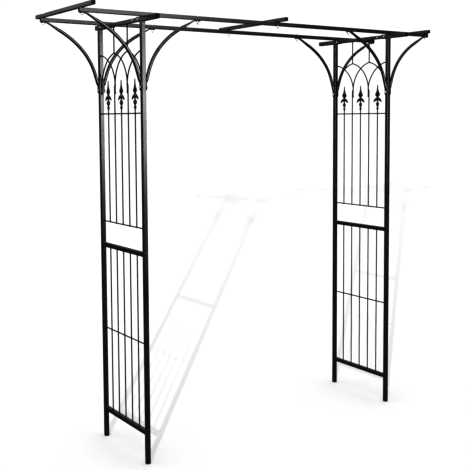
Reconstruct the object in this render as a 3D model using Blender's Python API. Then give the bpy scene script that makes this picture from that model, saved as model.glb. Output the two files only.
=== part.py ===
"""Free-standing garden trellis arch in black powder-coated steel.

Two side panels stand on four square posts and carry a flat roof.  Each panel
has a lower grille and an upper section with spear finials and interlaced
pointed arches.  The roof is two long beams with three crossbars on top,
stiffened by eight curved braces.  The panels are alike but for one head tube,
and each crossbar overhangs the beams by its own amount.  X is the width, -Y the
front, Z is up, and the feet stand on Z = 0.  All lengths are metres.
"""
import math

import bmesh
import bpy
from mathutils import Matrix

# Overall layout
POST_X = 0.750             # panel plane, from the middle of the walkway
POST_Y = 0.214             # post axis, from the middle of the depth
GAP = 0.0003               # clearance left between touching pieces
CUT_PAST = 0.010           # how far a cutter runs past the face it opens
WELD = 0.00002             # vertices closer than this are one

# Square tube sections: half width, corner radius, wall
POST_HALF = 0.010
POST_CORNER = 0.0020
ROOF_HALF = 0.009
ROOF_CORNER = 0.0018
HEAD_HALF = 0.011
WALL = 0.0015
CORNER_STEPS = 2           # facets in each rounded corner

# Posts
FOOT_PLATE = 0.002
SPLIT_Z = 0.975            # seam between lower and upper post
POST_SPIGOT = 0.050
SPIGOT_CLEARANCE = 0.0004
SPIGOT_SHOULDER = 0.006    # solid ring between the spigot and the tube's bore

# Rails and rods
BOTTOM_RAIL_Z = 0.143
JUNCTION_RAIL_Z = 0.964
ROD_RADIUS = 0.003
ROD_SIDES = 8
ROD_PITCH = 0.068
MID_ROD_Z = 0.553
SILL_ROD_Z = 1.081
FINIAL_ROD_Z = 1.600

# Finials: a round stem with a collar and a bulb, under a flat spear with two barbs
FINIAL_BASE_Z = 1.6185
FINIAL_HALF_THICKNESS = 0.003
FINIAL_EDGE = 0.001
FINIAL_STEM_SIDES = 10
FINIAL_STEM = (            # radius and height above the base, base to barbs
    (0.0040, 0.0000), (0.0046, 0.0040), (0.0058, 0.0075), (0.0058, 0.0125),
    (0.0040, 0.0160), (0.0040, 0.0215), (0.0066, 0.0255), (0.0084, 0.0330),
    (0.0066, 0.0405), (0.0040, 0.0445), (0.0040, 0.0540),
)
FINIAL_OUTLINE = (         # half width and height above the base, barbs to tip
    (0.0030, 0.0490), (0.0100, 0.0525), (0.0170, 0.0500), (0.0240, 0.0450),
    (0.0312, 0.0432), (0.0280, 0.0520), (0.0210, 0.0610), (0.0120, 0.0670),
    (0.0055, 0.0685), (0.0065, 0.0725), (0.0140, 0.0790), (0.0180, 0.0870),
    (0.0120, 0.0980), (0.0062, 0.1090), (0.0040, 0.1180), (0.0028, 0.1290),
    (0.0014, 0.1375),
)

# Tracery of interlaced pointed arches
TRACERY_FOOT_Z = 1.692
SPRING_Z = 1.735
SPRING_HANDLE_Z = 1.800
APEX_HANDLE_Z = 1.868
APEX_HANDLE_Y = 0.057      # apex handle, from the line the arch springs on
APEX_Z = 1.884
SHOULDER_Z = 1.879         # top of a half arch, at the post
LEG_OFFSET = 0.0063        # tracery leg beside rods two and four
ARCH_SEGMENTS = 9
ARCH_BEVEL_RESOLUTION = 2  # eight sides

# Roof
BEAM_BOTTOM_Z = 2.026
BEAM_END_X = 1.050
BEAM_SEAM_X = 0.030
BEAM_SPIGOT = 0.062
CROSSBAR_X = 1.038
CROSSBAR_REACH = {         # to the front and to the back of the middle
    "left": (0.330, 0.285),
    "middle": (0.285, 0.295),
    "right": (0.240, 0.310),
}
HEAD_INNER_Y = 0.175
HEAD_OUTER_Y = 0.350
TURNED_HEAD = "left_back"  # head tube fitted the other way round, its long end inwards
TURNED_HEAD_OUTER_Y = 0.2475
TOP_RAIL_ENTRY = 0.030     # length of the top rail inside each head tube

# Curved braces, round tube pressed flat at both ends
BRACE_REACH = 0.288        # bolt on the beam, from the post axis
BRACE_RADIUS = 0.008
TAB_HALF_THICKNESS = 0.0025
TAB_HALF_WIDTH = 0.0100
TAB_SQUARENESS = 0.45      # power that squares the flattened section
BRACE_START_Z = 1.700
BRACE_TAB_TOP_Z = 1.731
BRACE_ROUND_Z = 1.752      # full round from here up
BRACE_CURVE = ((0.017, 1.700), (0.017, 1.860), (0.130, 1.970), (0.288, 2.024))
BRACE_CURVE_FIRST = 0.16
BRACE_CURVE_LAST = 0.80
BRACE_SEGMENTS = 11
BRACE_SIDES = 12
BRACE_TAB_START = 0.268
BRACE_TAB_END = 0.2995

# Bolts
BOLT_RADIUS = 0.003
HOLE_RADIUS = 0.0034
BOLT_SIDES = 12
HEX_RADIUS = 0.005 / math.cos(math.pi / 6)
HEAD_HEIGHT = 0.004
HEAD_CHAMFER = 0.0006
NUT_HEIGHT = 0.005
SHORT_TIP = 0.004          # thread past the nut
LONG_TIP = 0.009
POST_BOLT_Z = 1.715

# Heights worked out from the layout
BEAM_Z = BEAM_BOTTOM_Z + ROOF_HALF
CROSSBAR_Z = BEAM_Z + 2 * ROOF_HALF + GAP
HEAD_TUBE_Z = BEAM_BOTTOM_Z - GAP - HEAD_HALF
POST_TOP_Z = HEAD_TUBE_Z - HEAD_HALF - GAP
BRACE_BOLT_X = POST_X - BRACE_REACH
PANEL_SPAN = POST_Y - POST_HALF - GAP

BLACK = (0.018, 0.018, 0.020, 1.0)
ZINC = (0.62, 0.63, 0.64, 1.0)
SIDES = (("left", -1), ("right", 1))
DEPTHS = (("front", -1), ("back", 1))
ALONG = {                  # turns a piece built along Z to lie along an axis
    "X": Matrix.Rotation(math.pi / 2, 4, "Y"),
    "Y": Matrix.Rotation(-math.pi / 2, 4, "X"),
    "Z": Matrix.Identity(4),
}


# Working tools

def clear_file():
    """Start from an empty file."""
    for item in list(bpy.data.objects):
        bpy.data.objects.remove(item, do_unlink=True)
    for group in list(bpy.data.collections):
        bpy.data.collections.remove(group)


def new_collection(name):
    group = bpy.data.collections.new(name)
    bpy.context.scene.collection.children.link(group)
    return group


def new_material(name, zinc):
    material = bpy.data.materials.new(name)
    material.use_nodes = True
    shader = material.node_tree.nodes["Principled BSDF"]
    shader.inputs["Base Color"].default_value = ZINC if zinc else BLACK
    shader.inputs["Metallic"].default_value = 0.9 if zinc else 0.0
    shader.inputs["Roughness"].default_value = 0.35 if zinc else 0.4
    return material


def evaluated_mesh(item):
    """Mesh of an object with its modifiers applied and its doubles welded."""
    bpy.context.view_layer.update()
    state = bpy.context.evaluated_depsgraph_get()
    mesh = bpy.data.meshes.new_from_object(item.evaluated_get(state))
    bm = bmesh.new()
    bm.from_mesh(mesh)
    bmesh.ops.remove_doubles(bm, verts=bm.verts, dist=WELD)
    bmesh.ops.recalc_face_normals(bm, faces=bm.faces)
    if bm.calc_volume(signed=True) < 0:
        bmesh.ops.reverse_faces(bm, faces=bm.faces)
    bm.to_mesh(mesh)
    bm.free()
    return mesh


def work_piece(name, data):
    """A blank or a cutter, kept out of the part itself."""
    item = bpy.data.objects.new(name, data)
    item.display_type = "WIRE"
    item.hide_render = True
    CUTTERS.objects.link(item)
    return item


def from_curve(name, curve):
    """Closed mesh blank from a curve, which is used up."""
    guide = work_piece(name + "_curve", curve)
    blank = work_piece(name, evaluated_mesh(guide))
    bpy.data.objects.remove(guide)
    bpy.data.curves.remove(curve)
    return blank


def from_bmesh(name, bm):
    """Mesh blank from a working mesh, which is used up."""
    mesh = bpy.data.meshes.new(name)
    bm.to_mesh(mesh)
    bm.free()
    return work_piece(name, mesh)


def combine(blank, tool, operation):
    """Boolean of two blanks; the tool is used up."""
    step = blank.modifiers.new(operation.lower(), "BOOLEAN")
    step.operation = operation
    step.solver = "EXACT"
    step.object = tool
    mesh = evaluated_mesh(blank)
    blank.modifiers.clear()
    blank.data = mesh
    bpy.data.objects.remove(tool)


def finished(blank, round_piece=False):
    """Mesh of a finished blank, ready for its copies."""
    mesh = blank.data
    bpy.data.objects.remove(blank)
    if round_piece:
        mesh.shade_smooth()
        mesh.set_sharp_from_angle(angle=math.radians(50))
    return mesh


def place(name, mesh, location, rotation=(0.0, 0.0, 0.0), zinc=False):
    """One sub-part: a copy of a mesh with its own material."""
    item = bpy.data.objects.new(name, mesh)
    item.location = location
    item.rotation_euler = rotation
    if not mesh.materials:
        mesh.materials.append(None)
    item.material_slots[0].link = "OBJECT"
    item.material_slots[0].material = new_material(name + "_finish", zinc)
    PARTS.objects.link(item)


# Basic shapes

def add_outline(curve, points, closed=True):
    spline = curve.splines.new("POLY")
    spline.points.add(len(points) - 1)
    for point, (a, b) in zip(spline.points, points):
        point.co = (a, b, 0.0, 1.0)
    spline.use_cyclic_u = closed


def square_outline(half, corner):
    """Square with rounded corners."""
    points = []
    for quarter in range(4):
        for step in range(CORNER_STEPS + 1):
            angle = (quarter + step / CORNER_STEPS) * math.pi / 2
            side_a = math.copysign(half - corner, math.cos((quarter + 0.5) * math.pi / 2))
            side_b = math.copysign(half - corner, math.sin((quarter + 0.5) * math.pi / 2))
            points.append((side_a + corner * math.cos(angle), side_b + corner * math.sin(angle)))
    return points


def square_bar(name, axis, start, end, sections):
    """Bar along an axis; a second (half, corner) section is its bore."""
    curve = bpy.data.curves.new(name, "CURVE")
    curve.dimensions = "2D"
    curve.fill_mode = "BOTH"
    curve.extrude = (end - start) / 2
    for half, corner in sections:
        add_outline(curve, square_outline(half, corner))
    blank = from_curve(name, curve)
    blank.data.transform(ALONG[axis] @ Matrix.Translation((0.0, 0.0, (start + end) / 2)))
    return blank


def square_tube(name, axis, start, end, half, corner):
    return square_bar(name, axis, start, end, ((half, corner), (half - WALL, corner / 2)))


def add_rod(bm, axis, middle, length, radius, sides, turn=0.0):
    """Solid round rod along an axis, added to a working mesh."""
    matrix = Matrix.Translation(middle) @ ALONG[axis] @ Matrix.Rotation(turn, 4, "Z")
    bmesh.ops.create_cone(bm, cap_ends=True, segments=sides, radius1=radius,
                          radius2=radius, depth=length, matrix=matrix)


def drill(blank, axis, centres, depth):
    """Bolt holes through a blank."""
    bm = bmesh.new()
    for centre in centres:
        add_rod(bm, axis, centre, depth, HOLE_RADIUS, BOLT_SIDES, math.pi / BOLT_SIDES)
    combine(blank, from_bmesh("holes", bm), "DIFFERENCE")


def join_rings(bm, rings):
    """Closed skin through rings of vertices."""
    for low, high in zip(rings, rings[1:]):
        for i in range(len(low)):
            j = (i + 1) % len(low)
            bm.faces.new((low[i], low[j], high[j], high[i]))
    bm.faces.new(rings[0])
    bm.faces.new(rings[-1])
    bmesh.ops.recalc_face_normals(bm, faces=bm.faces)


def bezier(handles, t):
    """Point of a cubic curve."""
    weights = ((1 - t) ** 3, 3 * t * (1 - t) ** 2, 3 * t * t * (1 - t), t ** 3)
    return (sum(w * p[0] for w, p in zip(weights, handles)),
            sum(w * p[1] for w, p in zip(weights, handles)))


def spigot_tube(name, axis, start, base, end, half, corner):
    """Tube from base to end whose reduced spigot runs from start to base."""
    bore = half - WALL
    plug = bore - SPIGOT_CLEARANCE
    small = corner / 2
    shoulder = base + SPIGOT_SHOULDER
    blank = square_bar(name, axis, base, end, ((half, corner),))
    spigot = square_bar("spigot", axis, start, base + SPIGOT_SHOULDER / 2, ((plug, small),))
    combine(blank, spigot, "UNION")
    narrow = square_bar("spigot_bore", axis, start - CUT_PAST, shoulder + CUT_PAST,
                        ((plug - WALL, small),))
    combine(blank, narrow, "DIFFERENCE")
    wide = square_bar("tube_bore", axis, shoulder, end + CUT_PAST, ((bore, small),))
    combine(blank, wide, "DIFFERENCE")
    return blank


# Sub-parts

def lower_post():
    """Post closed at its foot and open at its top."""
    blank = square_bar("lower_post", "Z", 0.0, SPLIT_Z, ((POST_HALF, POST_CORNER),))
    bore = square_bar("bore", "Z", FOOT_PLATE, SPLIT_Z + CUT_PAST,
                      ((POST_HALF - WALL, POST_CORNER / 2),))
    combine(blank, bore, "DIFFERENCE")
    return finished(blank)


def upper_post():
    """Post that plugs into the lower one, drilled for the brace bolt."""
    blank = spigot_tube("upper_post", "Z", SPLIT_Z - POST_SPIGOT, SPLIT_Z + GAP,
                        POST_TOP_Z, POST_HALF, POST_CORNER)
    drill(blank, "X", [(0.0, 0.0, POST_BOLT_Z)], 4 * POST_HALF)
    return finished(blank)


def panel_rail():
    """Square rail between two posts of a panel."""
    return finished(square_tube("panel_rail", "Y", -PANEL_SPAN, PANEL_SPAN,
                                POST_HALF, POST_CORNER))


def top_rail():
    """Slim rail under the roof, its ends inside the head tubes."""
    reach = HEAD_INNER_Y + TOP_RAIL_ENTRY
    return finished(square_tube("top_rail", "Y", -reach, reach, ROOF_HALF, ROOF_CORNER))


def head_tube():
    """Short tube across the top of a post."""
    reach = (HEAD_OUTER_Y - HEAD_INNER_Y) / 2
    return finished(square_tube("head_tube", "Y", -reach, reach, HEAD_HALF, POST_CORNER))


def grille(name, cross_heights, rods):
    """Welded grille; rods lists the place, bottom and top of each rod."""
    cross = bmesh.new()
    for height in cross_heights:
        add_rod(cross, "Y", (0.0, 0.0, height), 2 * PANEL_SPAN, ROD_RADIUS, ROD_SIDES,
                math.pi / ROD_SIDES)
    uprights = bmesh.new()
    for number, bottom, top in rods:
        add_rod(uprights, "Z", (0.0, number * ROD_PITCH, (bottom + top) / 2), top - bottom,
                ROD_RADIUS, ROD_SIDES)
    blank = from_bmesh(name, cross)
    combine(blank, from_bmesh("uprights", uprights), "UNION")
    return finished(blank, round_piece=True)


def lower_grille():
    """Five rods between the square rails, with one cross rod."""
    bottom = BOTTOM_RAIL_Z + POST_HALF + GAP
    top = JUNCTION_RAIL_Z - POST_HALF - GAP
    return grille("lower_grille", (MID_ROD_Z,), [(n, bottom, top) for n in range(-2, 3)])


def upper_grille():
    """Five rods on a sill rod; the second and fourth reach up to the arches."""
    bottom = SILL_ROD_Z - ROD_RADIUS / 2
    rods = []
    for number in range(-2, 3):
        top = FINIAL_BASE_Z - GAP if number % 2 == 0 else SPRING_Z - ROD_RADIUS
        rods.append((number, bottom, top))
    return grille("upper_grille", (SILL_ROD_Z, FINIAL_ROD_Z), rods)


def finial_stem():
    """Round stem of a finial with its collar and bulb."""
    bm = bmesh.new()
    rings = []
    for radius, height in FINIAL_STEM:
        ring = []
        for i in range(FINIAL_STEM_SIDES):
            angle = 2 * math.pi * (i + 0.5) / FINIAL_STEM_SIDES
            ring.append(bm.verts.new((radius * math.cos(angle), radius * math.sin(angle),
                                      height)))
        rings.append(ring)
    join_rings(bm, rings)
    return from_bmesh("finial_stem", bm)


def finial():
    """Cast spear: a flat blade with two barbs on a round stem."""
    left = [(-y, z) for y, z in reversed(FINIAL_OUTLINE)]
    curve = bpy.data.curves.new("finial", "CURVE")
    curve.dimensions = "2D"
    curve.fill_mode = "BOTH"
    curve.extrude = FINIAL_HALF_THICKNESS - FINIAL_EDGE
    curve.bevel_depth = FINIAL_EDGE
    curve.bevel_resolution = 0
    add_outline(curve, list(FINIAL_OUTLINE) + left)
    blank = from_curve("finial", curve)
    blank.data.transform(PANEL_PLANE)
    combine(blank, finial_stem(), "UNION")
    return finished(blank)


def arch_half(foot, line, apex_y, apex_z):
    """Points from the spring of an arch to its top, in the panel plane."""
    way = 1 if apex_y > line else -1
    handles = ((foot, SPRING_Z), (foot, SPRING_HANDLE_Z),
               (line + way * APEX_HANDLE_Y, APEX_HANDLE_Z), (apex_y, apex_z))
    return [bezier(handles, i / ARCH_SEGMENTS) for i in range(ARCH_SEGMENTS + 1)]


def bent_rods(name, paths, tilt):
    """Round rods bent along paths in the panel plane."""
    curve = bpy.data.curves.new(name, "CURVE")
    curve.dimensions = "3D"
    curve.twist_mode = "Z_UP"
    curve.bevel_depth = ROD_RADIUS
    curve.bevel_resolution = ARCH_BEVEL_RESOLUTION
    curve.use_fill_caps = True
    for path in paths:
        add_outline(curve, path, closed=False)
        for point in curve.splines[-1].points:
            point.tilt = tilt
    blank = from_curve(name, curve)
    blank.data.transform(PANEL_PLANE)
    return blank


def tracery():
    """Interlaced pointed arches with two hangers, welded into one piece."""
    post_face = POST_Y - POST_HALF
    post_leg = post_face - GAP - ROD_RADIUS
    rod_leg = ROD_PITCH - LEG_OFFSET
    facet = 2 * math.pi / ROD_SIDES
    arches = []
    shoulders = []
    hangers = bmesh.new()
    hanger_bottom = APEX_Z - ROD_RADIUS / 2
    hanger_top = HEAD_TUBE_Z - ROOF_HALF - GAP
    for depth, sy in DEPTHS:
        rise = arch_half(sy * post_leg, sy * post_face, sy * ROD_PITCH, APEX_Z)
        fall = arch_half(-sy * rod_leg, -sy * ROD_PITCH, sy * ROD_PITCH, APEX_Z)
        feet = ((sy * post_leg, TRACERY_FOOT_Z), (-sy * rod_leg, TRACERY_FOOT_Z))
        arches.append([feet[0]] + rise + fall[-2::-1] + [feet[1]])
        shoulders.append(arch_half(sy * rod_leg, sy * ROD_PITCH, sy * (post_face - 3 * GAP),
                                   SHOULDER_Z))
        add_rod(hangers, "Z", (0.0, sy * ROD_PITCH, (hanger_bottom + hanger_top) / 2),
                hanger_top - hanger_bottom, ROD_RADIUS, ROD_SIDES, facet / 4)
    blank = bent_rods("tracery", arches[:1], 0.0)
    combine(blank, bent_rods("second_arch", arches[1:], facet / 2), "UNION")
    combine(blank, bent_rods("shoulders", shoulders, facet / 4), "UNION")
    combine(blank, from_bmesh("hangers", hangers), "UNION")
    return finished(blank, round_piece=True)


def brace_stations():
    """Centre, half thickness, half width and squareness along a brace."""
    tab = (TAB_HALF_THICKNESS, TAB_HALF_WIDTH, TAB_SQUARENESS)
    full = (BRACE_RADIUS, BRACE_RADIUS, 1.0)
    low_x = POST_HALF + GAP + TAB_HALF_THICKNESS
    high_z = BEAM_BOTTOM_Z - GAP - TAB_HALF_THICKNESS
    stations = [(low_x, BRACE_START_Z) + tab, (low_x, BRACE_TAB_TOP_Z) + tab,
                (POST_HALF + 2 * GAP + BRACE_RADIUS, BRACE_ROUND_Z) + full]
    span = BRACE_CURVE_LAST - BRACE_CURVE_FIRST
    for i in range(BRACE_SEGMENTS + 1):
        t = BRACE_CURVE_FIRST + span * i / BRACE_SEGMENTS
        stations.append(bezier(BRACE_CURVE, t) + full)
    return stations + [(BRACE_TAB_START, high_z) + tab, (BRACE_TAB_END, high_z) + tab]


def brace_ring(bm, station, direction):
    """Section of a brace, square to its direction."""
    x, z, thick, wide, power = station
    along_x, along_z = direction
    length = math.hypot(along_x, along_z)
    ring = []
    for i in range(BRACE_SIDES):
        angle = 2 * math.pi * i / BRACE_SIDES
        across = math.sin(angle)
        aside = math.cos(angle)
        off = thick * math.copysign(abs(across) ** power, across)
        side = wide * math.copysign(abs(aside) ** power, aside)
        ring.append(bm.verts.new((x - along_z / length * off, side,
                                  z + along_x / length * off)))
    return ring


def brace():
    """Curved brace from the post at x = 0 to the beam; a loft, flat at both ends."""
    stations = brace_stations()
    last = len(stations) - 1
    bm = bmesh.new()
    rings = []
    for i, station in enumerate(stations):
        before = stations[max(i - 1, 0)]
        after = stations[min(i + 1, last)]
        rings.append(brace_ring(bm, station, (after[0] - before[0], after[1] - before[1])))
    join_rings(bm, rings)
    blank = from_bmesh("brace", bm)
    low_x = stations[0][0]
    high_z = stations[-1][1]
    drill(blank, "X", [(low_x, 0.0, POST_BOLT_Z)], 4 * TAB_HALF_THICKNESS)
    drill(blank, "Z", [(BRACE_REACH, 0.0, high_z)], 4 * TAB_HALF_THICKNESS)
    return finished(blank, round_piece=True)


def left_beam():
    """Left length of a roof beam, which takes the spigot of the right one."""
    blank = square_tube("left_beam", "X", -BEAM_END_X, BEAM_SEAM_X, ROOF_HALF, ROOF_CORNER)
    drill(blank, "Z", [(-CROSSBAR_X, 0.0, 0.0), (-BRACE_BOLT_X, 0.0, 0.0), (0.0, 0.0, 0.0)],
          4 * ROOF_HALF)
    return finished(blank)


def right_beam():
    """Right length of a roof beam, with its spigot."""
    blank = spigot_tube("right_beam", "X", BEAM_SEAM_X - BEAM_SPIGOT, BEAM_SEAM_X + GAP,
                        BEAM_END_X, ROOF_HALF, ROOF_CORNER)
    drill(blank, "Z", [(0.0, 0.0, 0.0), (BRACE_BOLT_X, 0.0, 0.0), (CROSSBAR_X, 0.0, 0.0)],
          4 * ROOF_HALF)
    return finished(blank)


def crossbar(front, back):
    """Roof bar that lies across both beams."""
    blank = square_tube("crossbar", "Y", -front, back, ROOF_HALF, ROOF_CORNER)
    drill(blank, "Z", [(0.0, -POST_Y, 0.0), (0.0, POST_Y, 0.0)], 4 * ROOF_HALF)
    return finished(blank)


def add_hexagon(bm, bottom, height, chamfer):
    """Hexagonal head or nut, chamfered at its top or its bottom."""
    start = len(bm.faces)
    add_rod(bm, "Z", (0.0, 0.0, bottom + height / 2), height, HEX_RADIUS, 6)
    bm.faces.ensure_lookup_table()
    wanted = bottom + height if chamfer == "top" else bottom
    edges = [edge for face in bm.faces[start:] for edge in face.edges
             if all(abs(vert.co.z - wanted) < WELD for vert in edge.verts)]
    bmesh.ops.bevel(bm, geom=list(set(edges)), offset=HEAD_CHAMFER, segments=1,
                    affect="EDGES")


def bolt(grip, tip):
    """Hex bolt and nut: the head stands on z = 0, the nut is below the grip."""
    shank_bottom = -grip - NUT_HEIGHT - tip
    shank_top = HEAD_HEIGHT / 2
    shank = bmesh.new()
    add_rod(shank, "Z", (0.0, 0.0, (shank_top + shank_bottom) / 2),
            shank_top - shank_bottom, BOLT_RADIUS, BOLT_SIDES)
    hexagons = bmesh.new()
    add_hexagon(hexagons, 0.0, HEAD_HEIGHT, "top")
    add_hexagon(hexagons, -grip - NUT_HEIGHT, NUT_HEIGHT, "bottom")
    blank = from_bmesh("bolt", shank)
    combine(blank, from_bmesh("hexagons", hexagons), "UNION")
    return finished(blank, round_piece=True)


# Assembly

def place_panels():
    """Posts, rails, grilles, finials and tracery of both panels."""
    lower, upper, rail, rail_under_roof = lower_post(), upper_post(), panel_rail(), top_rail()
    head, low_grille, high_grille, spear, arches = (head_tube(), lower_grille(), upper_grille(),
                                                   finial(), tracery())
    head_middle = (HEAD_INNER_Y + HEAD_OUTER_Y) / 2
    for side, sx in SIDES:
        x = sx * POST_X
        for depth, sy in DEPTHS:
            tag = side + "_" + depth
            place("lower_post_" + tag, lower, (x, sy * POST_Y, 0.0))
            place("upper_post_" + tag, upper, (x, sy * POST_Y, 0.0))
            shift = HEAD_OUTER_Y - TURNED_HEAD_OUTER_Y if tag == TURNED_HEAD else 0.0
            place("head_tube_" + tag, head, (x, sy * (head_middle - shift), HEAD_TUBE_Z))
        place("bottom_rail_" + side, rail, (x, 0.0, BOTTOM_RAIL_Z))
        place("junction_rail_" + side, rail, (x, 0.0, JUNCTION_RAIL_Z))
        place("top_rail_" + side, rail_under_roof, (x, 0.0, HEAD_TUBE_Z))
        place("lower_grille_" + side, low_grille, (x, 0.0, 0.0))
        place("upper_grille_" + side, high_grille, (x, 0.0, 0.0))
        place("tracery_" + side, arches, (x, 0.0, 0.0))
        for label, number in (("front", -2), ("middle", 0), ("back", 2)):
            place("finial_" + side + "_" + label, spear, (x, number * ROD_PITCH, FINIAL_BASE_Z))


def place_roof():
    """Beams, crossbars and braces."""
    left, right, bent = left_beam(), right_beam(), brace()
    for label, x in (("left", -CROSSBAR_X), ("middle", 0.0), ("right", CROSSBAR_X)):
        bar = crossbar(*CROSSBAR_REACH[label])
        place("roof_crossbar_" + label, bar, (x, 0.0, CROSSBAR_Z))
    for depth, sy in DEPTHS:
        y = sy * POST_Y
        place("roof_beam_" + depth + "_left", left, (0.0, y, BEAM_Z))
        place("roof_beam_" + depth + "_right", right, (0.0, y, BEAM_Z))
        for side, sx in SIDES:
            for kind, way in (("outer", sx), ("inner", -sx)):
                turn = 0.0 if way > 0 else math.pi
                place("brace_" + kind + "_" + side + "_" + depth, bent,
                      (sx * POST_X, y, 0.0), (0.0, 0.0, turn))


def place_bolts():
    """Zinc-plated bolts with nuts at the braces and the crossbars."""
    beam_top = BEAM_Z + ROOF_HALF + GAP
    bar_top = CROSSBAR_Z + ROOF_HALF + GAP
    tab = 2 * TAB_HALF_THICKNESS
    post_reach = POST_HALF + tab + 2 * GAP
    centre = bolt(bar_top - BEAM_BOTTOM_Z + GAP, LONG_TIP)
    end = bolt(bar_top - BEAM_BOTTOM_Z + tab + 2 * GAP, SHORT_TIP)
    beam = bolt(beam_top - BEAM_BOTTOM_Z + tab + 2 * GAP, LONG_TIP)
    post = bolt(2 * post_reach, SHORT_TIP)
    for depth, sy in DEPTHS:
        y = sy * POST_Y
        place("centre_bolt_" + depth, centre, (0.0, y, bar_top), zinc=True)
        for side, sx in SIDES:
            tag = side + "_" + depth
            place("end_bolt_" + tag, end, (sx * CROSSBAR_X, y, bar_top), zinc=True)
            place("beam_bolt_" + tag, beam, (sx * BRACE_BOLT_X, y, beam_top), zinc=True)
            place("post_bolt_" + tag, post, (sx * (POST_X + post_reach), y, POST_BOLT_Z),
                  (0.0, sx * math.pi / 2, 0.0), zinc=True)


PANEL_PLANE = Matrix(((0, 0, 1, 0), (1, 0, 0, 0), (0, 1, 0, 0), (0, 0, 0, 1)))
clear_file()
PARTS = new_collection("garden_trellis_arch")
CUTTERS = new_collection("cutters")
place_panels()
place_roof()
place_bolts()
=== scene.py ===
"""Garden trellis arch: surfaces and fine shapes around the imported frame.

The square tubes are the CAD model's own.  Rods, pointed arches, spear finials,
curved braces and bolts are built finer here and stand for their CAD nodes, and
the small trim is added: push-in caps, weld beads and screws.  Lengths are
metres, in the frame's own axes.
"""
import math
import random

import bmesh
import bpy
from mathutils import Matrix, Vector


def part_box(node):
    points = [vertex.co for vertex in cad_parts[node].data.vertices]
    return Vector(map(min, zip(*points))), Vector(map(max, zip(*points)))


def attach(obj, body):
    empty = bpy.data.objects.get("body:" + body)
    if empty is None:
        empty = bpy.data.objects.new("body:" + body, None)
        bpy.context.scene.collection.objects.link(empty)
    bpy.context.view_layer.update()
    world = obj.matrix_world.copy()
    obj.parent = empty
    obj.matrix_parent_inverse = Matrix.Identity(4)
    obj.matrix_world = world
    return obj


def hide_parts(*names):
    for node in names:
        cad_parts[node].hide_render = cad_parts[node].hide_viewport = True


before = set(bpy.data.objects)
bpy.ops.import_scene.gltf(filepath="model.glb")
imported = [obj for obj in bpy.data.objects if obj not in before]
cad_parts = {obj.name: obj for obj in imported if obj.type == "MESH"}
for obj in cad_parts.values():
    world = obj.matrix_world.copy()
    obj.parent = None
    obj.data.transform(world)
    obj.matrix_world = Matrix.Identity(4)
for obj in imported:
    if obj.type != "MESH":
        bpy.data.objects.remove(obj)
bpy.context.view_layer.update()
BODY = "root"
X_AXIS = Vector((1.0, 0.0, 0.0))
Y_AXIS = Vector((0.0, 1.0, 0.0))
Z_AXIS = Vector((0.0, 0.0, 1.0))
SIDES = ("left", "right")
DEPTHS = (("front", -1), ("back", 1))

# Camera: turned to face the right-hand panel, tipped down a little
CAMERA_PLACE = (-2.5578, -3.5658, 1.5656)
CAMERA_YAW = 34.445
CAMERA_TIP = -4.215
CAMERA_ROLL = -0.298
CAMERA_LENS = 65.03
CAMERA_SENSOR = 36.0
CAMERA_SHIFT_Y = -0.1106

# Light
KEY_PLACE = (-5.5, -6.2, 3.22)
KEY_SIZE = 0.055
KEY_POWER = 1750.0
KEY_REACH = 8.9            # distance at which the key light has its nominal power
SHEEN_PLACE = (0.8, -4.0, 1.83)
SHEEN_AIM = (0.8, 0.0, 1.83)
SHEEN_WIDTH = 1.9
SHEEN_HEIGHT = 1.35
SHEEN_POWER = 131.0
SHEEN_TINT = (0.98, 0.955, 1.0)
FILL_PLACE = (-2.4, 3.2, 3.2)
FILL_AIM = (0.0, 0.0, 1.9)
FILL_WIDTH = 2.4
FILL_HEIGHT = 1.5
FILL_POWER = 20.0
ROOM_LOW = 0.02            # brightness of the room near the floor and overhead
ROOM_HIGH = 1.48

BACKDROP = 1.05            # brightness of the white behind the arch
VIEW_GAMMA = 0.58          # the contrast of a studio photograph

# Floor
FLOOR_SIZE = 120.0
FLOOR_ALBEDO_NEAR = 0.83
FLOOR_ALBEDO_FAR_PAINTED_LIGHT = 0.85
PAINTED_LIGHT_START_Y = 0.5         # painted light: the floor's colour lightens from here back, in place of extra light on the far floor
PAINTED_LIGHT_END_Y = 9.0

# Frame sizes that the finer shapes follow
WALL = 0.0015
ROD_RADIUS = 0.003
ROD_PITCH = 0.068
MID_ROD_Z = 0.553
SILL_ROD_Z = 1.081
FINIAL_ROD_Z = 1.600
POST_X = 0.750
POST_Y = 0.214
POST_HALF = 0.010
POST_FACE = POST_Y - POST_HALF
GAP = 0.0003

# Rods and their welds
ROD_COAT_DEPTH = 0.5       # the thin rods took a denser, duller coat
ROD_COAT_DULLING = 0.08
ROD_COAT_GLOSS = 0.22
ROD_SIDES = 14
ROD_STEP = 0.030
WELD_STEP = 0.0013
WELD_REACH = 0.0030
WELD_SWELL = 0.0015
BEAD_RADIUS = 0.0017
BEAD_RIPPLE = 0.0021

# Pointed arches
TRACERY_FOOT_Z = 1.692
SPRING_Z = 1.735
SPRING_HANDLE_Z = 1.800
APEX_HANDLE_Z = 1.868
APEX_HANDLE_Y = 0.057
APEX_Z = 1.884
SHOULDER_Z = 1.879
LEG_OFFSET = 0.0063
CROWN_RISE = 0.052         # crossing of two arches, above the middle of their rise
ARCH_STEPS = 26

# Finials, from the base up: (height, radius) of the round stem
FINIAL_STEM = ((0.0000, 0.0039), (0.0020, 0.0042), (0.0042, 0.0049), (0.0064, 0.0057),
               (0.0085, 0.0061), (0.0115, 0.0061), (0.0138, 0.0054), (0.0158, 0.0043),
               (0.0185, 0.0039), (0.0212, 0.0041), (0.0234, 0.0055), (0.0262, 0.0072),
               (0.0298, 0.0083), (0.0333, 0.0086), (0.0368, 0.0081), (0.0402, 0.0068),
               (0.0428, 0.0051), (0.0450, 0.0041), (0.0485, 0.0039), (0.0540, 0.0042))
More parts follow.
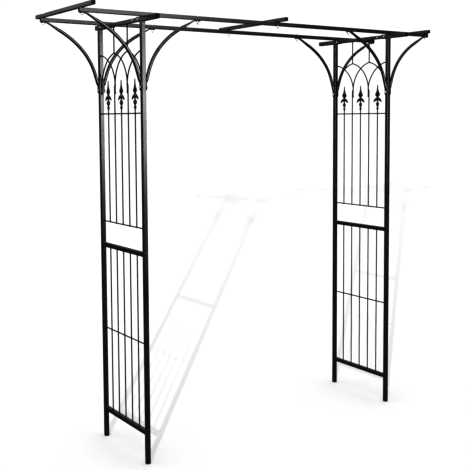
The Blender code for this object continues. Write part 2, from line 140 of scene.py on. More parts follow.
# (height, half width, half thickness) of the ring under the blade and of the blade
FINIAL_NECK = ((0.0672, 0.0058, 0.0034), (0.0684, 0.0076, 0.0046), (0.0700, 0.0083, 0.0051),
               (0.0718, 0.0077, 0.0047), (0.0734, 0.0060, 0.0036))
FINIAL_SPEAR = ((0.0722, 0.0062, 0.0030), (0.0755, 0.0112, 0.0036), (0.0790, 0.0156, 0.0041),
                (0.0830, 0.0184, 0.0044), (0.0870, 0.0190, 0.0045), (0.0912, 0.0172, 0.0043),
                (0.0960, 0.0139, 0.0040), (0.1020, 0.0104, 0.0036), (0.1090, 0.0072, 0.0032),
                (0.1160, 0.0054, 0.0029), (0.1240, 0.0045, 0.0026), (0.1320, 0.0037, 0.0023),
                (0.1370, 0.0029, 0.0020), (0.1385, 0.0016, 0.0012))
# Barb of a finial: (across, height, half width, half thickness), from the stem out
FINIAL_BARB = ((0.0000, 0.0600, 0.0085, 0.0044), (0.0040, 0.0608, 0.0083, 0.0043),
               (0.0080, 0.0609, 0.0084, 0.0043), (0.0115, 0.0601, 0.0082, 0.0042),
               (0.0150, 0.0586, 0.0079, 0.0040), (0.0182, 0.0565, 0.0074, 0.0038),
               (0.0212, 0.0541, 0.0067, 0.0035), (0.0240, 0.0516, 0.0058, 0.0032),
               (0.0267, 0.0489, 0.0046, 0.0028), (0.0291, 0.0464, 0.0031, 0.0022),
               (0.0310, 0.0444, 0.0014, 0.0014))
FINIAL_SECTION = 20

# Braces, in the plane of a beam and measured from the post axis
BRACE_COAT_DEPTH = 0.8      # round tube takes a smoother coat, with a brighter line of light
BRACE_COAT_DULLING = -0.07
BRACE_COAT_GLOSS = 0.75
BRACE_REACH = 0.288
BRACE_RADIUS = 0.008
TAB_HALF_THICKNESS = 0.0025
TAB_HALF_WIDTH = 0.0100
BRACE_CURVE = ((0.017, 1.700), (0.017, 1.860), (0.130, 1.970), (BRACE_REACH, 2.024))
BRACE_TAB_RISE = 0.031
BRACE_ROUND_RISE = 0.052
BRACE_TAB_START = 0.268
BRACE_BEND = 0.014          # length of the bend into the upper tab
BRACE_CURVE_FIRST = 0.16
BRACE_CURVE_LAST = 0.80
BRACE_SEGMENTS = 34
BRACE_EASE_STEPS = 7
BRACE_SECTION = 28
TAB_END_STEPS = (0.008, 0.003, 0.0)     # rings before the rounded end of the upper tab
TAB_TIP_SHARE = 0.62       # width left at the tip of a tab, and at the ring before it
TAB_SHOULDER_SHARE = 0.93

# Bolts and screws
BOLT_RADIUS = 0.003
HEX_APOTHEM = 0.005
HEAD_HEIGHT = 0.004
NUT_HEIGHT = 0.005
SHORT_TIP = 0.004
LONG_TIP = 0.009
WASHER_RADIUS = 0.0064
WASHER_HEIGHT = 0.0009
THREAD_PITCH = 0.0010
THREAD_DEPTH = 0.00036
BOLT_SECTION = 36
SCREW_APOTHEM = 0.0030
SCREW_FLANGE = 0.0046
HEAD_SCREW_Y = 0.192
RAIL_SCREW_Y = -0.140

# Caps
CAP_THICKNESS = 0.0016
CAP_PLUG = 0.007
CAP_RIBS = 3


# Node helpers

def new_shader(name):
    """A material with its Principled node."""
    material = bpy.data.materials.new(name)
    material.use_nodes = True
    tree = material.node_tree
    return material, tree, tree.nodes["Principled BSDF"]


def noise(tree, scale, detail=2.0, roughness=0.5):
    """Noise in the frame's own metres."""
    place = tree.nodes.new("ShaderNodeTexCoord")
    node = tree.nodes.new("ShaderNodeTexNoise")
    node.inputs["Scale"].default_value = scale
    node.inputs["Detail"].default_value = detail
    node.inputs["Roughness"].default_value = roughness
    tree.links.new(place.outputs["Object"], node.inputs["Vector"])
    return node.outputs["Fac"]


def remap(tree, value, low, high, to_low=0.0, to_high=1.0):
    """Clamped change of range."""
    node = tree.nodes.new("ShaderNodeMapRange")
    node.inputs["From Min"].default_value = low
    node.inputs["From Max"].default_value = high
    node.inputs["To Min"].default_value = to_low
    node.inputs["To Max"].default_value = to_high
    tree.links.new(value, node.inputs["Value"])
    return node.outputs["Result"]


def maths(tree, operation, first, second):
    node = tree.nodes.new("ShaderNodeMath")
    node.operation = operation
    for socket, value in zip(node.inputs, (first, second)):
        if isinstance(value, (int, float)):
            socket.default_value = value
        else:
            tree.links.new(value, socket)
    return node.outputs[0]


def blend(tree, share, first, second):
    """Colour mix; each colour is a tuple or a socket."""
    node = tree.nodes.new("ShaderNodeMix")
    node.data_type = "RGBA"
    tree.links.new(share, node.inputs[0])
    for socket, value in ((node.inputs[6], first), (node.inputs[7], second)):
        if isinstance(value, tuple):
            socket.default_value = value
        else:
            tree.links.new(value, socket)
    return node.outputs[2]


def add_bump(tree, shader, height, strength, distance):
    node = tree.nodes.new("ShaderNodeBump")
    node.inputs["Strength"].default_value = strength
    node.inputs["Distance"].default_value = distance
    tree.links.new(height, node.inputs["Height"])
    tree.links.new(node.outputs["Normal"], shader.inputs["Normal"])


def grey(value, blue=0.0):
    return (value, value * 0.985, value * (1.0 + blue), 1.0)


# Materials

def powder_coat(name, depth=1.0, dulling=0.0, gloss=0.5, seam_height=None):
    """Satin black powder coat with orange peel, dust on top and faint scuffs.

    Depth scales the colour and dulling is added to the roughness.  With a seam
    height, the cut edge just below it is rubbed to bare steel.
    """
    material, tree, shader = new_shader(name)
    shader.inputs["Specular IOR Level"].default_value = gloss
    mottle = noise(tree, 7.0, 4.0, 0.6)
    scuffs = remap(tree, noise(tree, 110.0, 5.0, 0.7), 0.66, 0.76)
    geometry = tree.nodes.new("ShaderNodeNewGeometry")
    normal = tree.nodes.new("ShaderNodeSeparateXYZ")
    tree.links.new(geometry.outputs["Normal"], normal.inputs["Vector"])
    upward = remap(tree, normal.outputs["Z"], 0.6, 0.95)
    dust = maths(tree, "MULTIPLY", upward, remap(tree, noise(tree, 45.0, 5.0, 0.7), 0.4, 0.7))
    tint = blend(tree, remap(tree, mottle, 0.3, 0.7), grey(0.0200 * depth, 0.08),
                 grey(0.0280 * depth, 0.10))
    tint = blend(tree, maths(tree, "MULTIPLY", scuffs, 0.15), tint, grey(0.060, 0.04))
    tint = blend(tree, maths(tree, "MULTIPLY", dust, 0.25), tint, grey(0.120, -0.05))
    rough = remap(tree, mottle, 0.3, 0.7, 0.23 + dulling, 0.30 + dulling)
    rough = maths(tree, "ADD", rough, maths(tree, "MULTIPLY", scuffs, 0.04))
    rough = maths(tree, "ADD", rough, maths(tree, "MULTIPLY", dust, 0.15))
    if seam_height is not None:
        position = tree.nodes.new("ShaderNodeSeparateXYZ")
        tree.links.new(geometry.outputs["Position"], position.inputs["Vector"])
        ragged = remap(tree, noise(tree, 260.0, 3.0), 0.3, 0.7, -0.0016, 0.0008)
        height = maths(tree, "ADD", position.outputs["Z"], ragged)
        bare = remap(tree, height, seam_height - 0.0022, seam_height - 0.0012)
        tint = blend(tree, bare, tint, (0.34, 0.33, 0.32, 1.0))
        tree.links.new(maths(tree, "MULTIPLY", bare, 0.9), shader.inputs["Metallic"])
    tree.links.new(tint, shader.inputs["Base Color"])
    tree.links.new(rough, shader.inputs["Roughness"])
    add_bump(tree, shader, noise(tree, 420.0, 2.0), 0.02, 0.0002)
    return material


def cast_coat(name, lump_scale, strength):
    """The same coat over rough metal: castings and welds."""
    material, tree, shader = new_shader(name)
    lumps = noise(tree, lump_scale, 4.0, 0.6)
    tint = blend(tree, remap(tree, lumps, 0.35, 0.7), grey(0.0100, 0.08), grey(0.0260, 0.08))
    tree.links.new(tint, shader.inputs["Base Color"])
    tree.links.new(remap(tree, lumps, 0.3, 0.7, 0.24, 0.38), shader.inputs["Roughness"])
    add_bump(tree, shader, lumps, strength, 0.0005)
    return material


def zinc_plate():
    """Bright zinc plate with a faint passivation haze and dull patches."""
    material, tree, shader = new_shader("zinc_plate")
    haze = noise(tree, 160.0, 4.0, 0.6)
    tint = blend(tree, remap(tree, haze, 0.3, 0.7), (0.70, 0.72, 0.76, 1.0),
                 (0.84, 0.83, 0.79, 1.0))
    tree.links.new(tint, shader.inputs["Base Color"])
    tree.links.new(remap(tree, haze, 0.3, 0.7, 0.30, 0.48), shader.inputs["Roughness"])
    shader.inputs["Metallic"].default_value = 0.6
    add_bump(tree, shader, noise(tree, 1500.0, 2.0), 0.15, 0.0002)
    return material


def cap_plastic():
    """Moulded black polyethylene with a fine spark-eroded grain."""
    material, tree, shader = new_shader("cap_plastic")
    shade = noise(tree, 70.0, 3.0)
    tint = blend(tree, remap(tree, shade, 0.35, 0.65), grey(0.0030), grey(0.0060))
    tree.links.new(tint, shader.inputs["Base Color"])
    tree.links.new(remap(tree, shade, 0.3, 0.7, 0.50, 0.64), shader.inputs["Roughness"])
    shader.inputs["Specular IOR Level"].default_value = 0.2
    add_bump(tree, shader, noise(tree, 1400.0, 3.0, 0.6), 0.25, 0.0002)
    return material


def dress_frame():
    """Gives the CAD nodes that stay in view their surface."""
    coat = powder_coat("powder_coat")
    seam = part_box("lower_post_left_front")[1][2]
    post_coat = powder_coat("powder_coat_cut_edge", seam_height=seam)
    for name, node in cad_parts.items():
        for slot in node.material_slots:
            slot.link = "OBJECT"
            slot.material = post_coat if name.startswith("lower_post") else coat


# Shape helpers

def oval(half_a, half_b, sides, power=1.0):
    """Closed outline; a power under one squares it, over one sharpens it."""
    points = []
    for i in range(sides):
        angle = 2 * math.pi * i / sides
        a, b = math.cos(angle), math.sin(angle)
        points.append((half_a * math.copysign(abs(a) ** power, a),
                       half_b * math.copysign(abs(b) ** power, b)))
    return points


def hexagon(apothem, sides, limit):
    """Hexagon in polar steps, its corners cut at the limit radius."""
    points = []
    for i in range(sides):
        angle = 2 * math.pi * i / sides
        offset = (angle + math.pi / 6) % (math.pi / 3) - math.pi / 6
        radius = min(apothem / math.cos(offset), limit)
        points.append((radius * math.cos(angle), radius * math.sin(angle)))
    return points


def rounded_square(half, corner, steps=4):
    points = []
    for quarter in range(4):
        middle_angle = (quarter + 0.5) * math.pi / 2
        a = math.copysign(half - corner, math.cos(middle_angle))
        b = math.copysign(half - corner, math.sin(middle_angle))
        for step in range(steps + 1):
            angle = (quarter + step / steps) * math.pi / 2
            points.append((a + corner * math.cos(angle), b + corner * math.sin(angle)))
    return points


def section(place, along, side, outline):
    """Outline laid square to a direction; its first axis is the side."""
    along = along.normalized()
    across = along.cross(side).normalized()
    return [place + side * a + across * b for a, b in outline]


def add_loft(bm, rings):
    """Closed solid through rings of points."""
    made = [[bm.verts.new(point) for point in ring] for ring in rings]
    for low, high in zip(made, made[1:]):
        for i in range(len(low)):
            j = (i + 1) % len(low)
            bm.faces.new((low[i], low[j], high[j], high[i]))
    bm.faces.new(made[0])
    bm.faces.new(made[-1])


def add_column(bm, place, axis, side, sections):
    """Solid along an axis through (height, outline) sections."""
    add_loft(bm, [section(place + axis * height, axis, side, outline)
                  for height, outline in sections])


def finish_piece(name, bm, surface, nodes=(), sharp=40.0):
    """One piece that rides on the frame and may stand for CAD nodes."""
    bmesh.ops.recalc_face_normals(bm, faces=bm.faces)
    mesh = bpy.data.meshes.new(name)
    bm.to_mesh(mesh)
    bm.free()
    mesh.shade_smooth()
    mesh.set_sharp_from_angle(angle=math.radians(sharp))
    mesh.materials.append(surface)
    piece = bpy.data.objects.new(name, mesh)
    bpy.context.scene.collection.objects.link(piece)
    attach(piece, BODY)
    if nodes:
        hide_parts(*nodes)
    return piece


def bezier(handles, t):
    """Point of a cubic curve."""
    weights = ((1 - t) ** 3, 3 * t * (1 - t) ** 2, 3 * t * t * (1 - t), t ** 3)
    return (sum(w * p[0] for w, p in zip(weights, handles)),
            sum(w * p[1] for w, p in zip(weights, handles)))


# Rods and their welds

def stations_along(points, welds):
    """Points of a path, closer together near a weld."""
    found = [points[0]]
    for start, end in zip(points, points[1:]):
        length = (end - start).length
        travelled = 0.0
        while True:
            here = start + (end - start) * (travelled / length)
            near = min([(here - weld).length for weld in welds] or [1.0])
            travelled += WELD_STEP if near < 3 * WELD_REACH else min(ROD_STEP, near / 2)
            if travelled > length - WELD_STEP / 2:
                break
            found.append(start + (end - start) * (travelled / length))
        found.append(end)
    return found


def add_rod(bm, points, welds, draw):
    """Round rod in the panel plane, swollen and uneven where it is welded."""
    stations = stations_along(points, welds)
    last = len(stations) - 1
    rings = []
    for i, place in enumerate(stations):
        along = stations[min(i + 1, last)] - stations[max(i - 1, 0)]
        swell = 0.0
        for weld in welds:
            swell = max(swell, math.exp(-((place - weld).length / WELD_REACH) ** 2))
        ring = []
        for a, b in oval(ROD_RADIUS, ROD_RADIUS, ROD_SIDES):
            size = 1.0 + swell * (WELD_SWELL / ROD_RADIUS) * draw.uniform(0.55, 1.1)
            ring.append((a * size, b * size))
        rings.append(section(place, along, X_AXIS, ring))
    add_loft(bm, rings)


def build_lower_grille(side, draw, surface):
    node = "lower_grille_" + side
    low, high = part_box(node)
    x = (low[0] + high[0]) / 2
    bm = bmesh.new()
    crossings = []
    for number in range(-2, 3):
        y = number * ROD_PITCH
        ends = (Vector((x, y, low[2])), Vector((x, y, high[2])))
        crossing = Vector((x, y, MID_ROD_Z))
        crossings.append(crossing)
        add_rod(bm, ends, (ends[0], ends[1], crossing), draw)
    reach = (Vector((x, low[1], MID_ROD_Z)), Vector((x, high[1], MID_ROD_Z)))
    add_rod(bm, reach, list(reach) + crossings, draw)
    finish_piece("welded_" + node, bm, surface, [node])


def build_upper_grille(side, draw, surface):
    node = "upper_grille_" + side
    low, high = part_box(node)
    finial_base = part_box("finial_" + side + "_middle")[0][2]
    x = (low[0] + high[0]) / 2
    bm = bmesh.new()
    sill = []
    upper = []
    for number in range(-2, 3):
        y = number * ROD_PITCH
        top = finial_base - GAP if number % 2 == 0 else high[2]
        ends = (Vector((x, y, SILL_ROD_Z)), Vector((x, y, top)))
        crossing = Vector((x, y, FINIAL_ROD_Z))
        sill.append(ends[0])
        upper.append(crossing)
        add_rod(bm, ends, (ends[0], crossing), draw)
    for height, crossings in ((SILL_ROD_Z, sill), (FINIAL_ROD_Z, upper)):
        reach = (Vector((x, low[1], height)), Vector((x, high[1], height)))
        add_rod(bm, reach, list(reach) + crossings, draw)
    finish_piece("welded_" + node, bm, surface, [node])


def arch_half(foot, line, apex_y, apex_z):
    """Curve from the spring of an arch to its top, in the panel plane."""
    way = 1 if apex_y > line else -1
    handles = ((foot, SPRING_Z), (foot, SPRING_HANDLE_Z),
               (line + way * APEX_HANDLE_Y, APEX_HANDLE_Z), (apex_y, apex_z))
    return [bezier(handles, i / ARCH_STEPS) for i in range(ARCH_STEPS + 1)]


def build_tracery(side, draw, surface):
    """Interlaced pointed arches, their half arches and the two hangers."""
    node = "tracery_" + side
    low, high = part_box(node)
    x = (low[0] + high[0]) / 2
    post_leg = POST_FACE - GAP - ROD_RADIUS
    rod_leg = ROD_PITCH - LEG_OFFSET
    crown_z = (SHOULDER_Z + SPRING_Z) / 2 + CROWN_RISE
    bm = bmesh.new()
    for _, sy in DEPTHS:
        rise = arch_half(sy * post_leg, sy * POST_FACE, sy * ROD_PITCH, APEX_Z)
        fall = arch_half(-sy * rod_leg, -sy * ROD_PITCH, sy * ROD_PITCH, APEX_Z)
        feet = ((sy * post_leg, TRACERY_FOOT_Z), (-sy * rod_leg, TRACERY_FOOT_Z))
        shoulder = arch_half(sy * rod_leg, sy * ROD_PITCH, sy * (POST_FACE - 3 * GAP),
                             SHOULDER_Z)
        arch = [feet[0]] + rise + fall[-2::-1] + [feet[1]]
        apex = Vector((x, sy * ROD_PITCH, APEX_Z))
        springs = [Vector((x, sy * post_leg, SPRING_Z)), Vector((x, -sy * rod_leg, SPRING_Z)),
                   Vector((x, -sy * rod_leg, TRACERY_FOOT_Z + 0.006)),
                   Vector((x, sy * post_leg, TRACERY_FOOT_Z + 0.006))]
        crossings = [Vector((x, 0.0, crown_z)), Vector((x, sy * 2 * ROD_PITCH, crown_z))]
        add_rod(bm, [Vector((x, y, z)) for y, z in arch], springs + crossings + [apex], draw)
        bend = [Vector((x, y, z)) for y, z in shoulder]
        add_rod(bm, bend, [bend[0], bend[-1]], draw)
        hanger = (apex, Vector((x, sy * ROD_PITCH, high[2])))
        add_rod(bm, hanger, hanger, draw)
    finish_piece("welded_" + node, bm, surface, [node])


# Finials

def build_finial(node, surface):
    """Cast spear: ribbed blade, drooping barbs, ring, bulb and collar on the stem."""
    low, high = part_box(node)
    base = Vector(((low[0] + high[0]) / 2, (low[1] + high[1]) / 2, low[2]))
    bm = bmesh.new()
    stem = [(height, radius, radius) for height, radius in FINIAL_STEM]
    for rows, power in ((stem, 1.0), (FINIAL_NECK, 1.0), (FINIAL_SPEAR, 1.35)):
        add_column(bm, base, Z_AXIS, X_AXIS,
                   [(height, oval(thick, wide, FINIAL_SECTION, power))
                    for height, wide, thick in rows])
    for way in (-1, 1):
        rings = []
        last = len(FINIAL_BARB) - 1
        for i, (y, z, wide, thick) in enumerate(FINIAL_BARB):
            before, after = FINIAL_BARB[max(i - 1, 0)], FINIAL_BARB[min(i + 1, last)]
            along = Vector((0.0, way * (after[0] - before[0]), after[1] - before[1]))
            place = base + Vector((0.0, way * y, z))
            rings.append(section(place, along, X_AXIS,
                                 oval(thick, wide, FINIAL_SECTION, 1.2)))
        add_loft(bm, rings)
    finish_piece("cast_" + node, bm, surface, [node], 32.0)


# Braces

def ease(share):
    return share * share * (3 - 2 * share)


def brace_stations(beam_bottom, foot_z):
    """Place, half thickness, half width and squareness along a brace."""
    low_x = POST_HALF + GAP + TAB_HALF_THICKNESS
    high_z = beam_bottom - GAP - TAB_HALF_THICKNESS
    first = bezier(BRACE_CURVE, BRACE_CURVE_FIRST)
    round_x = POST_HALF + 2 * GAP + BRACE_RADIUS
    tab_top = foot_z + BRACE_TAB_RISE
    round_z = foot_z + BRACE_ROUND_RISE
    found = [(low_x, foot_z + 0.0004, 0.0), (low_x, foot_z + 0.004, 0.0)]
    for i in range(BRACE_EASE_STEPS + 1):
        share = i / BRACE_EASE_STEPS
        found.append((low_x + (round_x - low_x) * ease(share),
                      tab_top + (round_z - tab_top) * share, ease(share)))
    span = BRACE_CURVE_LAST - BRACE_CURVE_FIRST
    for i in range(BRACE_SEGMENTS + 1):
        t = BRACE_CURVE_FIRST + span * i / BRACE_SEGMENTS
        x, z = bezier(BRACE_CURVE, t)
        if z > max(first[1], round_z) + 0.004:
            found.append((x, z, 1.0))
    last_x, last_z, _ = found[-1]
    bend_x = BRACE_TAB_START - BRACE_BEND / 2
    slope = (high_z - last_z) / (BRACE_TAB_START - last_x)
    for i in range(1, BRACE_EASE_STEPS + 1):
        share = i / BRACE_EASE_STEPS
        run = (bend_x - last_x) * share
        found.append((last_x + run, last_z + slope * run, 1.0 - ease(share)))
    bend_z = found[-1][1]
    for i in range(1, BRACE_EASE_STEPS + 1):
        run = BRACE_BEND * i / BRACE_EASE_STEPS
        rise = slope * (run - run * run / (2 * BRACE_BEND))
        found.append((bend_x + run, bend_z + rise, 0.0))
    return found


def build_brace(node, surface):
    """Curved tube, pressed flat and rounded off at its two bolted ends."""
    low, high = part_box(node)
    post_x = -POST_X if "_left_" in node else POST_X
    way = 1 if low[0] + high[0] > 2 * post_x else -1
    y = (low[1] + high[1]) / 2
    stations = brace_stations(high[2] + GAP, low[2])
    reach = max(abs(low[0] - post_x), abs(high[0] - post_x))
    top = high[2] - TAB_HALF_THICKNESS
    for trim in TAB_END_STEPS:
        stations.append((reach - trim, top, 0.0))
    last = len(stations) - 1
    bm = bmesh.new()
    rings = []
    for i, (x, z, roundness) in enumerate(stations):
        before, after = stations[max(i - 1, 0)], stations[min(i + 1, last)]
        along = Vector((way * (after[0] - before[0]), 0.0, after[1] - before[1]))
        thick = TAB_HALF_THICKNESS + (BRACE_RADIUS - TAB_HALF_THICKNESS) * roundness
        wide = TAB_HALF_WIDTH + (BRACE_RADIUS - TAB_HALF_WIDTH) * roundness
        if i in (0, last):
            wide *= TAB_TIP_SHARE
        elif i in (1, last - 1):
            wide *= TAB_SHOULDER_SHARE
        power = 0.45 + 0.55 * roundness
        place = Vector((post_x + way * x, y, z))
        rings.append(section(place, along, Y_AXIS, oval(wide, thick, BRACE_SECTION, power)))
    add_loft(bm, rings)
    finish_piece("bent_" + node, bm, surface, [node])


# Bolts and screws

def bolt_sections(length, tip):
    """(height, outline) from the end of the thread up to the top of the head."""
    sides = BOLT_SECTION
    corner = HEX_APOTHEM / math.cos(math.pi / 6)
    found = [(0.0, oval(BOLT_RADIUS * 0.72, BOLT_RADIUS * 0.72, sides))]
    height = THREAD_PITCH * 0.8
    while height < tip - THREAD_PITCH:
        found.append((height, oval(BOLT_RADIUS, BOLT_RADIUS, sides)))
        root = BOLT_RADIUS - THREAD_DEPTH
        found.append((height + THREAD_PITCH / 2, oval(root, root, sides)))
        height += THREAD_PITCH
    nut_top = tip + NUT_HEIGHT
    head = length - HEAD_HEIGHT
    rim = corner * 0.90
    found += [(tip - 0.0001, oval(BOLT_RADIUS, BOLT_RADIUS, sides)),
              (tip, oval(rim, rim, sides)),
              (tip + 0.0007, hexagon(HEX_APOTHEM, sides, corner)),
              (nut_top - WASHER_HEIGHT - 0.0002, hexagon(HEX_APOTHEM, sides, corner)),
              (nut_top - WASHER_HEIGHT, oval(rim, rim, sides)),
              (nut_top - WASHER_HEIGHT + 0.0001, oval(WASHER_RADIUS, WASHER_RADIUS, sides)),
              (nut_top, oval(WASHER_RADIUS, WASHER_RADIUS, sides)),
              (nut_top + 0.0001, oval(BOLT_RADIUS, BOLT_RADIUS, sides)),
              (head - 0.0001, oval(BOLT_RADIUS, BOLT_RADIUS, sides)),
              (head, oval(WASHER_RADIUS, WASHER_RADIUS, sides)),
              (head + WASHER_HEIGHT - 0.0001, oval(WASHER_RADIUS, WASHER_RADIUS, sides)),
              (head + WASHER_HEIGHT, hexagon(HEX_APOTHEM, sides, corner)),
              (length - 0.0007, hexagon(HEX_APOTHEM, sides, corner)),
              (length - 0.0001, oval(rim, rim, sides)),
              (length, oval(rim * 0.9, rim * 0.9, sides))]
    return found


def build_bolt(node, surface):
    """Hex bolt with two washers, a nut and a threaded end."""
    low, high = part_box(node)
    centre = (low + high) / 2
    bm = bmesh.new()
    if node.startswith("post_bolt"):
        way = -1 if "_left_" in node else 1
        length = high[0] - low[0]
        start = Vector((centre[0] - way * length / 2, centre[1], centre[2]))
        add_column(bm, start, X_AXIS * way, Z_AXIS, bolt_sections(length, SHORT_TIP))
    else:
        length = high[2] - low[2]
        start = Vector((centre[0], centre[1], low[2]))
        tip = SHORT_TIP if node.startswith("end_bolt") else LONG_TIP
        add_column(bm, start, Z_AXIS, X_AXIS, bolt_sections(length, tip))
    finish_piece("zinc_" + node, bm, surface, [node], 28.0)


def build_screws(surface):
    """Flanged hex screws in the head tubes, and one in each top rail."""
    corner = SCREW_APOTHEM / math.cos(math.pi / 6)
    sections = [(-0.0030, oval(0.0018, 0.0018, 24)), (-0.0001, oval(0.0018, 0.0018, 24)),
                (0.0, oval(SCREW_FLANGE, SCREW_FLANGE, 24)),
                (0.0006, oval(SCREW_FLANGE, SCREW_FLANGE, 24)),
                (0.0011, oval(corner, corner, 24)),
                (0.0012, hexagon(SCREW_APOTHEM, 24, corner)),
                (0.0032, hexagon(SCREW_APOTHEM, 24, corner)),
                (0.0038, oval(corner * 0.84, corner * 0.84, 24))]
    for side in SIDES:
        spots = [("top_rail_" + side, RAIL_SCREW_Y)]
        for depth, sy in DEPTHS:
            spots.append(("head_tube_" + side + "_" + depth, sy * HEAD_SCREW_Y))
        for node, y in spots:
            low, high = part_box(node)
            bm = bmesh.new()
            add_column(bm, Vector((low[0], y, (low[2] + high[2]) / 2)), -X_AXIS, Z_AXIS, sections)
            finish_piece("screw_" + node, bm, surface, (), 28.0)


# Caps and weld beads

def add_cap(name, place, direction, half, corner, surface):
    """Push-in cap: a low dished head with a rounded rim, and its ribbed plug."""
    bore = half - WALL - 0.0002
    inner = corner / 3
    slim = rounded_square(bore - 0.0006, inner)
    sections = [(-CAP_PLUG, rounded_square(bore - 0.0010, inner))]
    for rib in range(CAP_RIBS):
        base = -CAP_PLUG + 0.0012 + rib * 0.0018
        sections += [(base, slim), (base + 0.0005, rounded_square(bore, inner)),
                     (base + 0.0007, slim)]
    lip = 0.0002
    sections += [(lip - 0.0001, slim),
                 (lip, rounded_square(half - 0.0002, corner)),
                 (CAP_THICKNESS * 0.55, rounded_square(half - 0.0001, corner)),
                 (CAP_THICKNESS * 0.85, rounded_square(half - 0.0005, corner * 0.9)),
                 (CAP_THICKNESS, rounded_square(half - 0.0013, corner * 0.7)),
                 (CAP_THICKNESS + 0.00005, rounded_square(half - 0.0026, corner * 0.5)),
                 (CAP_THICKNESS - 0.0004, rounded_square(half - 0.0034, corner * 0.4))]
    side = Z_AXIS if abs(direction[2]) < 0.5 else X_AXIS
    bm = bmesh.new()
    add_column(bm, place, direction, side, sections)
    finish_piece(name, bm, surface, (), 30.0)


def cap_tubes(surface):
    """Caps in the open ends of beams, crossbars and head tubes."""
    for node in sorted(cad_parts):
        low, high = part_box(node)
        half = (high[2] - low[2]) / 2
        ends = []
        if node.startswith("roof_beam"):
            ends = [("", X_AXIS, -1 if node.endswith("left") else 1)]
        elif node.startswith("roof_crossbar"):
            ends = [("_front", Y_AXIS, -1), ("_back", Y_AXIS, 1)]
        elif node.startswith("head_tube"):
            ends = [("", Y_AXIS, -1 if node.endswith("front") else 1)]
        for label, axis, way in ends:
            centre = (low + high) / 2
            reach = (high - low).dot(axis) / 2
            place = centre + axis * (way * reach)
            add_cap("cap_" + node + label, place, axis * way, half, half / 5, surface)


def add_bead(bm, start, end, draw):
    """Rippled weld bead along a joint."""
    length = (end - start).length
    steps = max(8, int(length / 0.0007))
    along = end - start
    side = Z_AXIS if abs(along.normalized()[2]) < 0.5 else X_AXIS
    rings = []
    for i in range(steps + 1):
        share = i / steps
        taper = min(1.0, 0.35 + 5.0 * min(share, 1.0 - share))
        ripple = 1.0 + 0.10 * math.sin(2 * math.pi * share * length / BEAD_RIPPLE)
        radius = BEAD_RADIUS * taper * ripple * draw.uniform(0.95, 1.05)
        rings.append(section(start + along * share, along, side, oval(radius, radius, 10)))
    add_loft(bm, rings)


def build_welds(side, draw, surface):
    """Beads where the square rails meet the posts and the head tubes sit on them."""
    bm = bmesh.new()
    run = POST_HALF - 0.0015
    for node in ("bottom_rail_" + side, "junction_rail_" + side):
        low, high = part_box(node)
        x = (low[0] + high[0]) / 2
        for z in (low[2] - 0.0002, high[2] + 0.0002):
            for _, sy in DEPTHS:
                y = sy * (POST_FACE - 0.0004)
                add_bead(bm, Vector((x - run, y, z)), Vector((x + run, y, z)), draw)
    finish_piece("rail_welds_" + side, bm, surface)
    bm = bmesh.new()
    for depth, sy in DEPTHS:
        low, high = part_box("upper_post_" + side + "_" + depth)
        x = (low[0] + high[0]) / 2
        y = (low[1] + high[1]) / 2
        z = high[2] - 0.0002
        for way in (-1, 1):
            edge = y + way * (POST_HALF + 0.0002)
            add_bead(bm, Vector((x - run, edge, z)), Vector((x + run, edge, z)), draw)
    finish_piece("head_tube_welds_" + side, bm, surface)


# Studio

def stage():
    """Seamless pale floor, its colour painted lighter towards the back in place of extra light
    there.
    """
    mesh = bpy.data.meshes.new("floor")
    bm = bmesh.new()
    bmesh.ops.create_grid(bm, x_segments=4, y_segments=4, size=FLOOR_SIZE / 2)
    bm.to_mesh(mesh)
    bm.free()
    floor = bpy.data.objects.new("floor", mesh)
    bpy.context.scene.collection.objects.link(floor)
    material, tree, shader = new_shader("floor_paper")
    place = tree.nodes.new("ShaderNodeTexCoord")
    position = tree.nodes.new("ShaderNodeSeparateXYZ")
    tree.links.new(place.outputs["Object"], position.inputs["Vector"])
    # painted light: the floor's colour lightens towards the back, standing in for extra light on
    # the far floor that fades the far shadows
    back = remap(tree, position.outputs["Y"], PAINTED_LIGHT_START_Y, PAINTED_LIGHT_END_Y)
    fibre = remap(tree, noise(tree, 30.0, 3.0), 0.3, 0.7, 0.0, 0.1)
    share = maths(tree, "ADD", back, fibre)
    tint = blend(tree, share, grey(FLOOR_ALBEDO_NEAR), grey(FLOOR_ALBEDO_FAR_PAINTED_LIGHT))
    tree.links.new(tint, shader.inputs["Base Color"])
    shader.inputs["Roughness"].default_value = 0.9
    shader.inputs["Specular IOR Level"].default_value = 0.0
    mesh.materials.append(material)
    floor.visible_glossy = False


def surroundings():
    """White to the eye; to the paint and floor a dim room with a bright ceiling."""
    world = bpy.data.worlds.new("studio")
    bpy.context.scene.world = world
    world.use_nodes = True
    tree = world.node_tree
    tree.nodes.clear()
    place = tree.nodes.new("ShaderNodeTexCoord")
    split = tree.nodes.new("ShaderNodeSeparateXYZ")
    tree.links.new(place.outputs["Generated"], split.inputs["Vector"])
    room = tree.nodes.new("ShaderNodeBackground")
    level = remap(tree, split.outputs["Z"], 0.10, 0.85, ROOM_LOW, ROOM_HIGH)
    tree.links.new(level, room.inputs["Strength"])
    white = tree.nodes.new("ShaderNodeBackground")
    path = tree.nodes.new("ShaderNodeLightPath")
    mix = tree.nodes.new("ShaderNodeMixShader")
    out = tree.nodes.new("ShaderNodeOutputWorld")
    room.inputs["Color"].default_value = (1.0, 1.0, 1.0, 1.0)
    white.inputs["Color"].default_value = (1.0, 1.0, 1.0, 1.0)
    white.inputs["Strength"].default_value = BACKDROP
    tree.links.new(path.outputs["Is Camera Ray"], mix.inputs["Fac"])
    tree.links.new(room.outputs["Background"], mix.inputs[1])
    tree.links.new(white.outputs["Background"], mix.inputs[2])
    tree.links.new(mix.outputs["Shader"], out.inputs["Surface"])


def add_light(name, kind, place, power):
    data = bpy.data.lights.new(name, kind)
    data.energy = power
    light = bpy.data.objects.new(name, data)
    light.location = place
    bpy.context.scene.collection.objects.link(light)
    light.visible_camera = False
    return light


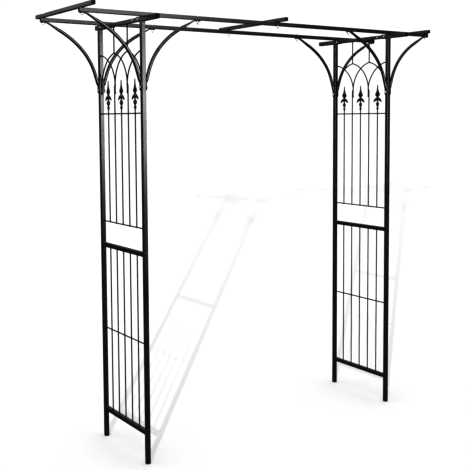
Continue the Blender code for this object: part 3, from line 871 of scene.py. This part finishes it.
def add_sheen(name, place, aim, power, width, height):
    """Soft panel of light that shows only as a sheen on the paint."""
    light = add_light(name, "AREA", place, power)
    light.data.shape = "RECTANGLE"
    light.data.size = width
    light.data.size_y = height
    away = Vector(place) - Vector(aim)
    light.rotation_euler = away.to_track_quat("Z", "Y").to_euler()
    light.visible_diffuse = False
    return light


def lights():
    """A small key light for the floor's shadow and two soft ones for the sheen."""
    key = add_light("key_light", "POINT", KEY_PLACE, KEY_POWER)
    key.data.shadow_soft_size = KEY_SIZE
    key.data.use_nodes = True
    tree = key.data.node_tree
    falloff = tree.nodes.new("ShaderNodeLightFalloff")
    falloff.inputs["Strength"].default_value = KEY_REACH ** -3
    path = tree.nodes.new("ShaderNodeLightPath")
    level = maths(tree, "MULTIPLY", falloff.outputs["Constant"], path.outputs["Ray Length"])
    tree.links.new(level, tree.nodes["Emission"].inputs["Strength"])
    sheen = add_sheen("sheen_light", SHEEN_PLACE, SHEEN_AIM, SHEEN_POWER, SHEEN_WIDTH,
                      SHEEN_HEIGHT)
    sheen.data.color = SHEEN_TINT
    add_sheen("fill_light", FILL_PLACE, FILL_AIM, FILL_POWER, FILL_WIDTH, FILL_HEIGHT)


def camera():
    data = bpy.data.cameras.new("camera")
    data.sensor_width = CAMERA_SENSOR
    data.lens = CAMERA_LENS
    data.shift_y = CAMERA_SHIFT_Y
    data.clip_end = 400.0
    item = bpy.data.objects.new("camera", data)
    item.matrix_world = (Matrix.Translation(CAMERA_PLACE)
                         @ Matrix.Rotation(math.radians(-CAMERA_YAW), 4, "Z")
                         @ Matrix.Rotation(math.radians(90.0 + CAMERA_TIP), 4, "X")
                         @ Matrix.Rotation(math.radians(CAMERA_ROLL), 4, "Z"))
    bpy.context.scene.collection.objects.link(item)
    bpy.context.scene.camera = item


def build_trim():
    """Every finer piece of the arch."""
    draw = random.Random(7)
    dress_frame()
    casting = cast_coat("cast_coat", 240.0, 0.35)
    weld = cast_coat("weld_coat", 420.0, 0.6)
    zinc = zinc_plate()
    rod_coat = powder_coat("rod_coat", ROD_COAT_DEPTH, ROD_COAT_DULLING, ROD_COAT_GLOSS)
    brace_coat = powder_coat("brace_coat", BRACE_COAT_DEPTH, BRACE_COAT_DULLING, BRACE_COAT_GLOSS)
    for side in SIDES:
        build_lower_grille(side, draw, rod_coat)
        build_upper_grille(side, draw, rod_coat)
        build_tracery(side, draw, rod_coat)
        build_welds(side, draw, weld)
    for node in sorted(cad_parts):
        if node.startswith("finial"):
            build_finial(node, casting)
        elif node.startswith("brace"):
            build_brace(node, brace_coat)
        elif "bolt" in node:
            build_bolt(node, zinc)
    build_screws(zinc)
    cap_tubes(cap_plastic())


build_trim()
stage()
surroundings()
lights()
camera()
view = bpy.context.scene.view_settings
view.view_transform = "Standard"
view.gamma = VIEW_GAMMA
